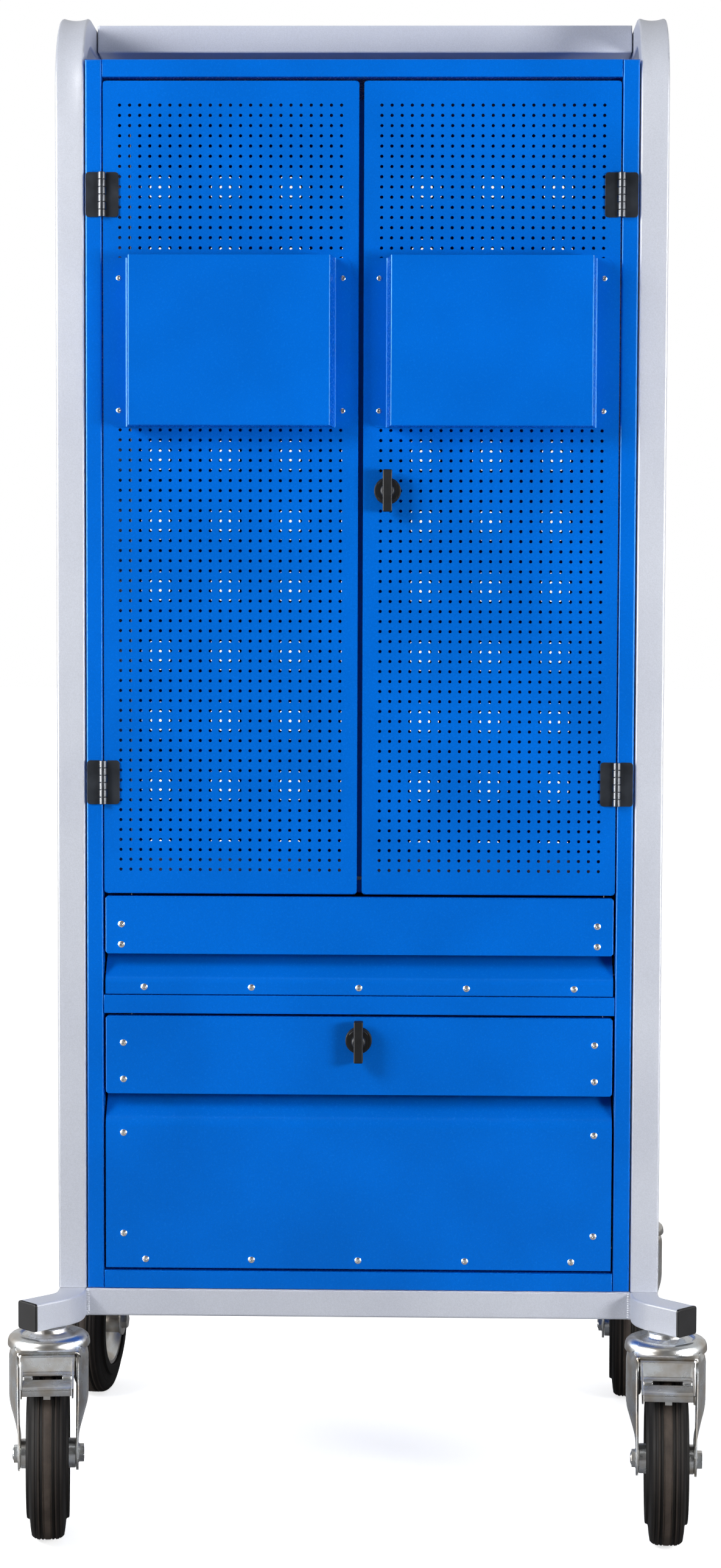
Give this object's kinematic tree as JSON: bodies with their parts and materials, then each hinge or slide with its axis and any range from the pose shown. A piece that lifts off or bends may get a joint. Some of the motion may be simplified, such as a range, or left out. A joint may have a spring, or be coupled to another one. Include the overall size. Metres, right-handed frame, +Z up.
{
  "type": "tool cart",
  "caption": "Tall tool cabinet on casters: perforated doors with document pockets, drawers below, hung between tube arches that carry a top tray.",
  "frame": {"origin": "on the floor, under the middle of the whole cart, with all four casters trailing towards the front", "axes": "+Z up, +X to the right of somebody facing the doors, -Y out of the doors"},
  "size_m": [0.8403, 0.8555, 1.82],
  "materials": {
    "blue_powder_coat": "semi-gloss powder coat, signal blue",
    "grey_powder_coat": "satin powder coat, light grey",
    "black_plastic": "fine-textured black moulding",
    "black_steel": "black zinc-plated steel, satin",
    "zinc_plate": "bright zinc plate",
    "caster_rubber": "dusty solid rubber with fine grooves"
  },
  "bodies": {
    "cabinet": {"left_arch": "grey_powder_coat", "right_arch": "grey_powder_coat", "left_base_tube": "grey_powder_coat", "right_base_tube": "grey_powder_coat", "front_base_rail": "grey_powder_coat", "rear_base_rail": "grey_powder_coat", "top_tray": "grey_powder_coat", "cap_front_left": "black_plastic", "cap_front_right": "black_plastic", "cap_rear_left": "black_plastic", "cap_rear_right": "black_plastic", "front_frame": "blue_powder_coat", "left_side_panel": "blue_powder_coat", "right_side_panel": "blue_powder_coat", "back_panel": "blue_powder_coat", "roof_panel": "blue_powder_coat", "floor_panel": "blue_powder_coat", "compartment_shelf": "blue_powder_coat", "hinge_left_lower_frame_leaf": "black_steel", "hinge_left_upper_frame_leaf": "black_steel", "hinge_right_lower_frame_leaf": "black_steel", "hinge_right_upper_frame_leaf": "black_steel", "left_upper_drawer_runner": "zinc_plate", "left_lower_drawer_runner": "zinc_plate", "right_upper_drawer_runner": "zinc_plate", "right_lower_drawer_runner": "zinc_plate"},
    "left_door": {"left_door": "blue_powder_coat", "left_pocket": "blue_powder_coat", "hinge_left_lower_door_leaf": "black_steel", "hinge_left_upper_door_leaf": "black_steel"},
    "right_door": {"right_door": "blue_powder_coat", "right_pocket": "blue_powder_coat", "hinge_right_lower_door_leaf": "black_steel", "hinge_right_upper_door_leaf": "black_steel"},
    "door_knob": {"door_knob": "black_plastic"},
    "upper_drawer": {"upper_drawer_panel": "blue_powder_coat", "upper_drawer_lip": "blue_powder_coat", "upper_drawer_box": "blue_powder_coat"},
    "lower_drawer": {"lower_drawer_panel": "blue_powder_coat", "lower_drawer_front": "blue_powder_coat", "lower_drawer_box": "blue_powder_coat"},
    "drawer_knob": {"drawer_knob": "black_plastic"},
    "swivel_front_left": {"fork_front_left": "zinc_plate", "axle_front_left": "zinc_plate"},
    "wheel_front_left": {"rim_front_left": "zinc_plate", "tyre_front_left": "caster_rubber"},
    "brake_front_left": {"pedal_front_left": "zinc_plate"},
    "swivel_front_right": {"fork_front_right": "zinc_plate", "axle_front_right": "zinc_plate"},
    "wheel_front_right": {"rim_front_right": "zinc_plate", "tyre_front_right": "caster_rubber"},
    "brake_front_right": {"pedal_front_right": "zinc_plate"},
    "swivel_rear_left": {"fork_rear_left": "zinc_plate", "axle_rear_left": "zinc_plate"},
    "wheel_rear_left": {"rim_rear_left": "zinc_plate", "tyre_rear_left": "caster_rubber"},
    "swivel_rear_right": {"fork_rear_right": "zinc_plate", "axle_rear_right": "zinc_plate"},
    "wheel_rear_right": {"rim_rear_right": "zinc_plate", "tyre_rear_right": "caster_rubber"}
  },
  "joints": [
    {"name": "left_door_hinge", "type": "hinge", "parent": "cabinet", "child": "left_door", "pos_m": [-0.309, -0.2288, 1.24365], "axis": [0, 0, -1], "range_deg": [0, 110]},
    {"name": "right_door_hinge", "type": "hinge", "parent": "cabinet", "child": "right_door", "pos_m": [0.309, -0.2288, 1.24365], "axis": [0, 0, 1], "range_deg": [0, 110]},
    {"name": "door_knob_turn", "type": "hinge", "parent": "right_door", "child": "door_knob", "pos_m": [0.0324, -0.224, 1.2443], "axis": [0, -1, 0], "range_deg": [0, 90]},
    {"name": "upper_drawer_slide", "type": "slide", "parent": "cabinet", "child": "upper_drawer", "axis": [0, -1, 0], "range_m": [0, 0.4]},
    {"name": "lower_drawer_slide", "type": "slide", "parent": "cabinet", "child": "lower_drawer", "axis": [0, -1, 0], "range_m": [0, 0.4]},
    {"name": "drawer_knob_turn", "type": "hinge", "parent": "lower_drawer", "child": "drawer_knob", "pos_m": [0, -0.224, 0.5822], "axis": [0, -1, 0], "range_deg": [0, 90]},
    {"name": "swivel_front_left", "type": "hinge", "parent": "cabinet", "child": "swivel_front_left", "pos_m": [-0.37056, -0.27695, 0.2], "axis": [0, 0, 1], "continuous": true},
    {"name": "wheel_front_left", "type": "hinge", "parent": "swivel_front_left", "child": "wheel_front_left", "pos_m": [-0.36533, -0.32668, 0.1], "axis": [0.9945, 0.1045, 0], "continuous": true},
    {"name": "brake_front_left", "type": "hinge", "parent": "swivel_front_left", "child": "brake_front_left", "pos_m": [-0.36439, -0.33563, 0.2155], "axis": [0.9945, 0.1045, 0], "range_deg": [0, 8]},
    {"name": "swivel_front_right", "type": "hinge", "parent": "cabinet", "child": "swivel_front_right", "pos_m": [0.37056, -0.27695, 0.2], "axis": [0, 0, 1], "continuous": true},
    {"name": "wheel_front_right", "type": "hinge", "parent": "swivel_front_right", "child": "wheel_front_right", "pos_m": [0.36794, -0.32688, 0.1], "axis": [0.9986, -0.0523, 0], "continuous": true},
    {"name": "brake_front_right", "type": "hinge", "parent": "swivel_front_right", "child": "brake_front_right", "pos_m": [0.36747, -0.33587, 0.2155], "axis": [0.9986, -0.0523, 0], "range_deg": [0, 8]},
    {"name": "swivel_rear_left", "type": "hinge", "parent": "cabinet", "child": "swivel_rear_left", "pos_m": [-0.37056, 0.37695, 0.2], "axis": [0, 0, 1], "continuous": true},
    {"name": "wheel_rear_left", "type": "hinge", "parent": "swivel_rear_left", "child": "wheel_rear_left", "pos_m": [-0.37665, 0.32732, 0.1], "axis": [0.9925, -0.1219, 0], "continuous": true},
    {"name": "swivel_rear_right", "type": "hinge", "parent": "cabinet", "child": "swivel_rear_right", "pos_m": [0.37056, 0.37695, 0.2], "axis": [0, 0, 1], "continuous": true},
    {"name": "wheel_rear_right", "type": "hinge", "parent": "swivel_rear_right", "child": "wheel_rear_right", "pos_m": [0.36707, 0.32707, 0.1], "axis": [0.9976, -0.0698, 0], "continuous": true}
  ]
}
